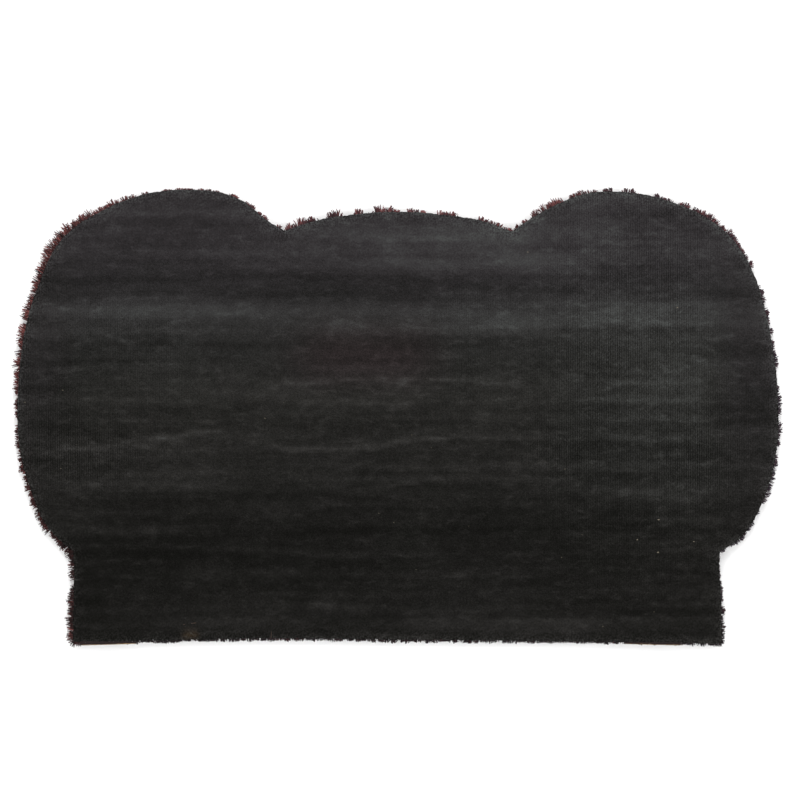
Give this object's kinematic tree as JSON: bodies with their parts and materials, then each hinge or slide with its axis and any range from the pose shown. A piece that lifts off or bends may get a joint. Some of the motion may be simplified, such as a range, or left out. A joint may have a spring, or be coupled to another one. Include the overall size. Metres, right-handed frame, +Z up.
{
  "type": "coir doormat",
  "caption": "Shaped coir doormat lying face down: a black vinyl back over a brush of reddish-brown coir whose fibres stand out ragged past the cut edge.",
  "frame": {"origin": "on the floor, under the middle of the mat", "axes": "+X along the mat's length, +Y from its straight foot to its two lobes, +Z up from the floor, through the brush to the vinyl back"},
  "size_m": [0.7569, 0.4485, 0.0155],
  "materials": {
    "vinyl": "matte, with a greyish bloom",
    "coir": "coarse dyed fibre"
  },
  "bodies": {
    "root": {"vinyl_back": "vinyl", "coir_pile": "coir"}
  },
  "joints": []
}
